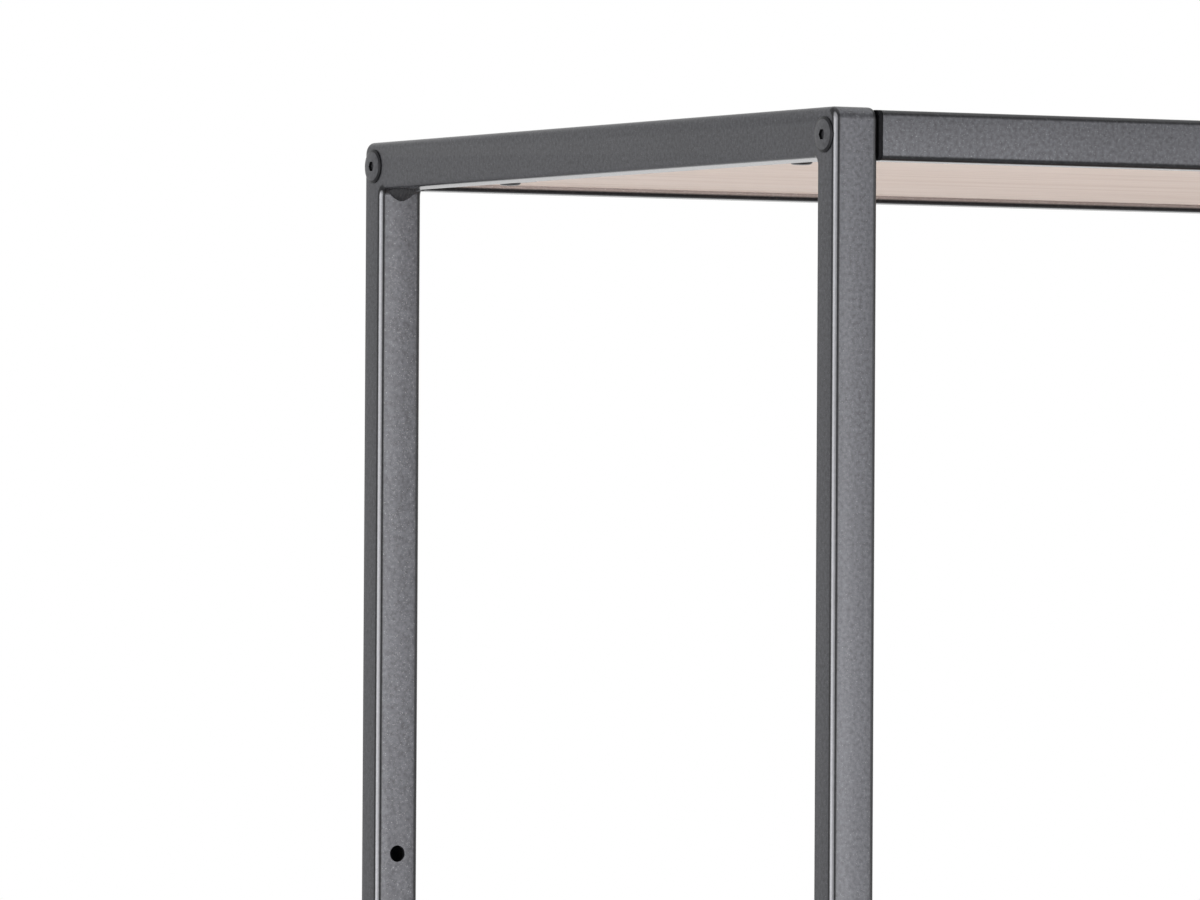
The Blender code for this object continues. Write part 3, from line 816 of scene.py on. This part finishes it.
def weld_tree():
    """A rippled bead across each point, thickest in its middle."""
    inputs = (
        ("Length", "Float"),
        ("End radius", "Float"),
        ("Middle radius", "Float"),
        ("Ripples", "Float"),
        ("Ripple height", "Float"),
        ("Finish", "Material"),
    )
    tree, nodes, given, out = new_tree("weld_beads_in_corners", *inputs)
    half = nodes.math("MULTIPLY", given.outputs["Length"], 0.5)
    start = nodes.add("ShaderNodeCombineXYZ")
    nodes.join(start, X=nodes.math("MULTIPLY", half, -1.0))
    stop = nodes.add("ShaderNodeCombineXYZ")
    nodes.join(stop, X=half)
    line = nodes.add("GeometryNodeCurvePrimitiveLine")
    nodes.join(line, Start=start, End=stop)
    dense = nodes.add("GeometryNodeResampleCurve")
    nodes.join(dense, Curve=line, Count=57)
    along = nodes.add("GeometryNodeSplineParameter").outputs["Factor"]
    off = nodes.math("ABSOLUTE", nodes.math("MULTIPLY_ADD", along, 2.0, -1.0))
    swell = nodes.math("SUBTRACT", 1.0, nodes.math("POWER", off, 1.7))
    grown = nodes.math("SUBTRACT", given.outputs["Middle radius"], given.outputs["End radius"])
    radius = nodes.math("MULTIPLY_ADD", grown, swell, given.outputs["End radius"])
    wave = nodes.math("MULTIPLY", along, given.outputs["Ripples"])
    wave = nodes.math("SINE", nodes.math("MULTIPLY", wave, 2 * math.pi))
    ripple = nodes.math("MULTIPLY_ADD", wave, given.outputs["Ripple height"], radius)
    ring = nodes.add("GeometryNodeCurvePrimitiveCircle")
    nodes.join(ring, Resolution=20, Radius=1.0)
    bead = nodes.add("GeometryNodeCurveToMesh")
    nodes.join(bead, Curve=dense, Profile_Curve=ring, Scale=ripple, Fill_Caps=True)
    place_copies(nodes, given.outputs["Geometry"], bead, given.outputs["Finish"], out)
    return tree


def laid_out(name, tree, places, **inputs):
    """Runs a tree on points, each with its turn, and bakes the result."""
    mesh = bpy.data.meshes.new(name)
    mesh.from_pydata([place for place, turn in places], [], [])
    turns = mesh.attributes.new("turn", "FLOAT_VECTOR", "POINT")
    for item, (place, turn) in zip(turns.data, places):
        item.vector = turn
    obj = scratch(name, mesh)
    modifier = obj.modifiers.new(name, "NODES")
    modifier.node_group = tree
    sockets = {item.name: item.identifier for item in tree.interface.items_tree}
    for label, value in inputs.items():
        modifier[sockets[label.replace("_", " ")]] = value
    return baked(obj, name)


def fasteners(name, master, places, finish, slot, nodes):
    model = scratch(name + "_master", master)
    inputs = {"Fastener": model, "Size": 1.0, "Finish": finish}
    mesh = laid_out(name, FASTENER_TREE, places, **inputs)
    bpy.data.objects.remove(model)
    keep(name, mesh, finish, slot, "frame", *nodes)


def bolt_master():
    """Low domed head with a bevelled rim and a six-sided socket, and a plain shank below
    z = 0."""
    profile = []
    for step in range(BOLT_FACE_STEPS + 1):
        share = step / BOLT_FACE_STEPS
        height = BOLT_HEAD_HEIGHT - BOLT_FACE_DROP * share**3
        profile.append((BOLT_FACE_RADIUS * share, height))
    rounding = BOLT_HEAD_HEIGHT - BOLT_FACE_DROP - BOLT_ROUNDING_DROP
    profile.append((BOLT_FACE_RADIUS + BOLT_ROUNDING_ACROSS, rounding))
    profile += [(BOLT_HEAD_RADIUS, BOLT_RIM_HEIGHT), (BOLT_HEAD_RADIUS, 0), (BOLT_RADIUS, 0)]
    profile.append((BOLT_RADIUS, -BOLT_LENGTH + BOLT_END_CHAMFER))
    profile += [(BOLT_RADIUS - BOLT_END_CHAMFER, -BOLT_LENGTH), (0, -BOLT_LENGTH)]
    floor = BOLT_HEAD_HEIGHT - BOLT_SOCKET_DEPTH
    corner = BOLT_SOCKET / math.sqrt(3)
    socket = rod_mesh("socket", corner, (0, 0, floor), (0, 0, floor + 2 * OVERSHOOT), 6)
    return cut(turned("bolt", profile, 64), [socket])


def screw_master():
    """Pan-head wood screw, point up, with a cross recess: the head's underside is at z = 0."""
    low = (-RECESS_REACH, -RECESS_HALF_WIDTH, RECESS_DEPTHS[0])
    high = (RECESS_REACH, RECESS_HALF_WIDTH, RECESS_DEPTHS[1])
    arms = []
    for turn in (0, math.pi / 2):
        arm = box_mesh("recess", low, high)
        arm.transform(Matrix.Rotation(turn, 4, "Z"))
        arms.append(arm)
    return cut(turned("screw", SCREW_POINT + SCREW_HEAD, 40), arms)


def peg_master():
    """Shelf peg along +Z, with a rounded nose and a narrower shank below z = 0."""
    return turned("peg", PEG_NOSE + PEG_SHANK, 48)


def foot_master():
    """Plastic foot: a softened pad under the post, and a ribbed plug inside it."""
    outline = rounded_plan(TUBE_ACROSS, POST_DEPTH, TUBE_EDGE)
    height = FOOT_HEIGHT - GAP
    pad = drawn("pad", [outline], height, Matrix.Translation((0, 0, height / 2)), FOOT_EDGE)
    plug = rounded_plan(FOOT_PLUG_ACROSS, FOOT_PLUG_DEPTH, FOOT_PLUG_CORNER)
    middle = Matrix.Translation((0, 0, FOOT_PLUG_MIDDLE))
    core = drawn("core", [plug], FOOT_PLUG_HEIGHT, middle)
    wider = (FOOT_PLUG_ACROSS + 2 * FOOT_RIB_REACH, FOOT_PLUG_DEPTH + 2 * FOOT_RIB_REACH)
    rib = rounded_plan(*wider, FOOT_PLUG_CORNER)
    ribs = []
    for row in range(FOOT_RIBS):
        place = Matrix.Translation((0, 0, FIRST_RIB_HEIGHT + row * RIB_PITCH))
        ribs.append(drawn("rib", [rib], FOOT_RIB_THICKNESS, place))
    return cut(pad, [core, *ribs], "UNION")


def all_fasteners():
    bolts, bolt_nodes, screws, screw_nodes = [], [], [], []
    for level in LEVELS:
        for end_name, end in ENDS.items():
            for side_name, side in SIDES.items():
                place = (side * (WIDTH / 2 + GAP), end * BOLT_Y, rail_centre(level, end))
                bolts.append((place, (0, side * math.pi / 2, 0)))
                bolt_nodes.append(f"{level}_{end_name}_{side_name}_bolt")
                seat = lug_top(level) - LUG_THICKNESS - GAP
                screws.append(((side * SCREW_X, end * LUG_Y, seat), (0, 0, 0.6 * side + end)))
                screw_nodes.append(f"{level}_{end_name}_{side_name}_screw")
    fasteners("connector_bolts", bolt_master(), bolts, BOLT_GREY, "bolt_steel", bolt_nodes)
    fasteners("lug_screws", screw_master(), screws, SCREW_DARK, "screw_steel", screw_nodes)
    pegs, peg_nodes, feet, foot_nodes = [], [], [], []
    for end_name, end in ENDS.items():
        for side_name, side in SIDES.items():
            place = (side * FRAME_X, end * (INSIDE_Y - GAP), HOLES[PEG_ROW])
            pegs.append((place, (end * math.pi / 2, 0, 0)))
            peg_nodes.append(f"shelf_peg_{end_name}_{side_name}")
            feet.append(((side * FRAME_X, end * POST_Y, 0), (0, 0, 0)))
            foot_nodes.append(f"foot_{end_name}_{side_name}")
    fasteners("steel_pegs", peg_master(), pegs, PEG_STEEL, "peg_steel", peg_nodes)
    fasteners("post_feet", foot_master(), feet, PLASTIC, "black_plastic", foot_nodes)


def weld_beads():
    places = []
    for side in SIDES.values():
        for level, top in LEVELS.items():
            for end in ENDS.values():
                corner = (side * FRAME_X, end * INSIDE_Y, top - RAIL_HEIGHT)
                places.append((corner, (0, 0, 0)))
                if level != "top":
                    places.append(((side * FRAME_X, end * INSIDE_Y, top), (0, 0, 0)))
    sizes = {
        "Length": 0.0125,
        "End radius": 0.0012,
        "Middle radius": 0.0050,
        "Ripples": 9.0,
        "Ripple height": 0.00012,
        "Finish": WELD,
    }
    mesh = laid_out("weld_beads", weld_tree(), places, **sizes)
    keep("weld_beads", mesh, WELD, "coated_steel", "frame")


photo_camera()
white_world()
studio_floor()
softbox("left_box", (-3.6, -0.5, 1.1), (-0.4, -0.2, 1.1), width=3.6, height=2.0, power=54)
softbox("front_box", (0.63, -3.02, 1.0), (-0.4, -0.2, 1.0), width=1.0, height=1.4, power=39)
softbox("far_right_box", (4.5, -4.0, 1.8), (0, 0, 1.0), width=2.4, height=2.4, power=70)
softbox("overhead", (0.2, -0.4, 4.2), (0, 0, 0), width=3.5, height=3.5, power=40)

COAT = coated_steel("speckled_grey_coat", 0.94, slope_shade=1.0, paint_wood_reflection=False)
# The rails take a copy of the coat painted darker as shade, with painted shade on their edges that run
# across
SHADED_RAIL_COAT = coated_steel("speckled_grey_rail_coat", 0.76, slope_shade=0.35, paint_wood_reflection=True)
WELD = weld_coat_painted_shade()
WOOD = pale_wood()
PLASTIC = black_plastic()
BOLT_GREY = grey_bolt_coat()
SCREW_DARK = plain_steel("darkened_screw_steel", dark=0.045, light=0.095)
PEG_STEEL = plain_steel("bright_peg_zinc", dark=0.30, light=0.48)
FASTENER_TREE = fastener_tree()

for node_name, node in frame["nodes"].items():
    node.data.materials.clear()
    if node_name.endswith(("_panel", "_shelf")):
        node.data.materials.append(WOOD)
    elif node_name.endswith("_plug"):
        node.data.materials.append(PLASTIC)
    else:
        node.data.materials.append(COAT)

for frame_side, frame_sign in SIDES.items():
    side_frame(frame_side, frame_sign, COAT)
long_rails(SHADED_RAIL_COAT)
all_fasteners()
weld_beads()

bpy.context.scene.view_settings.view_transform = "Standard"
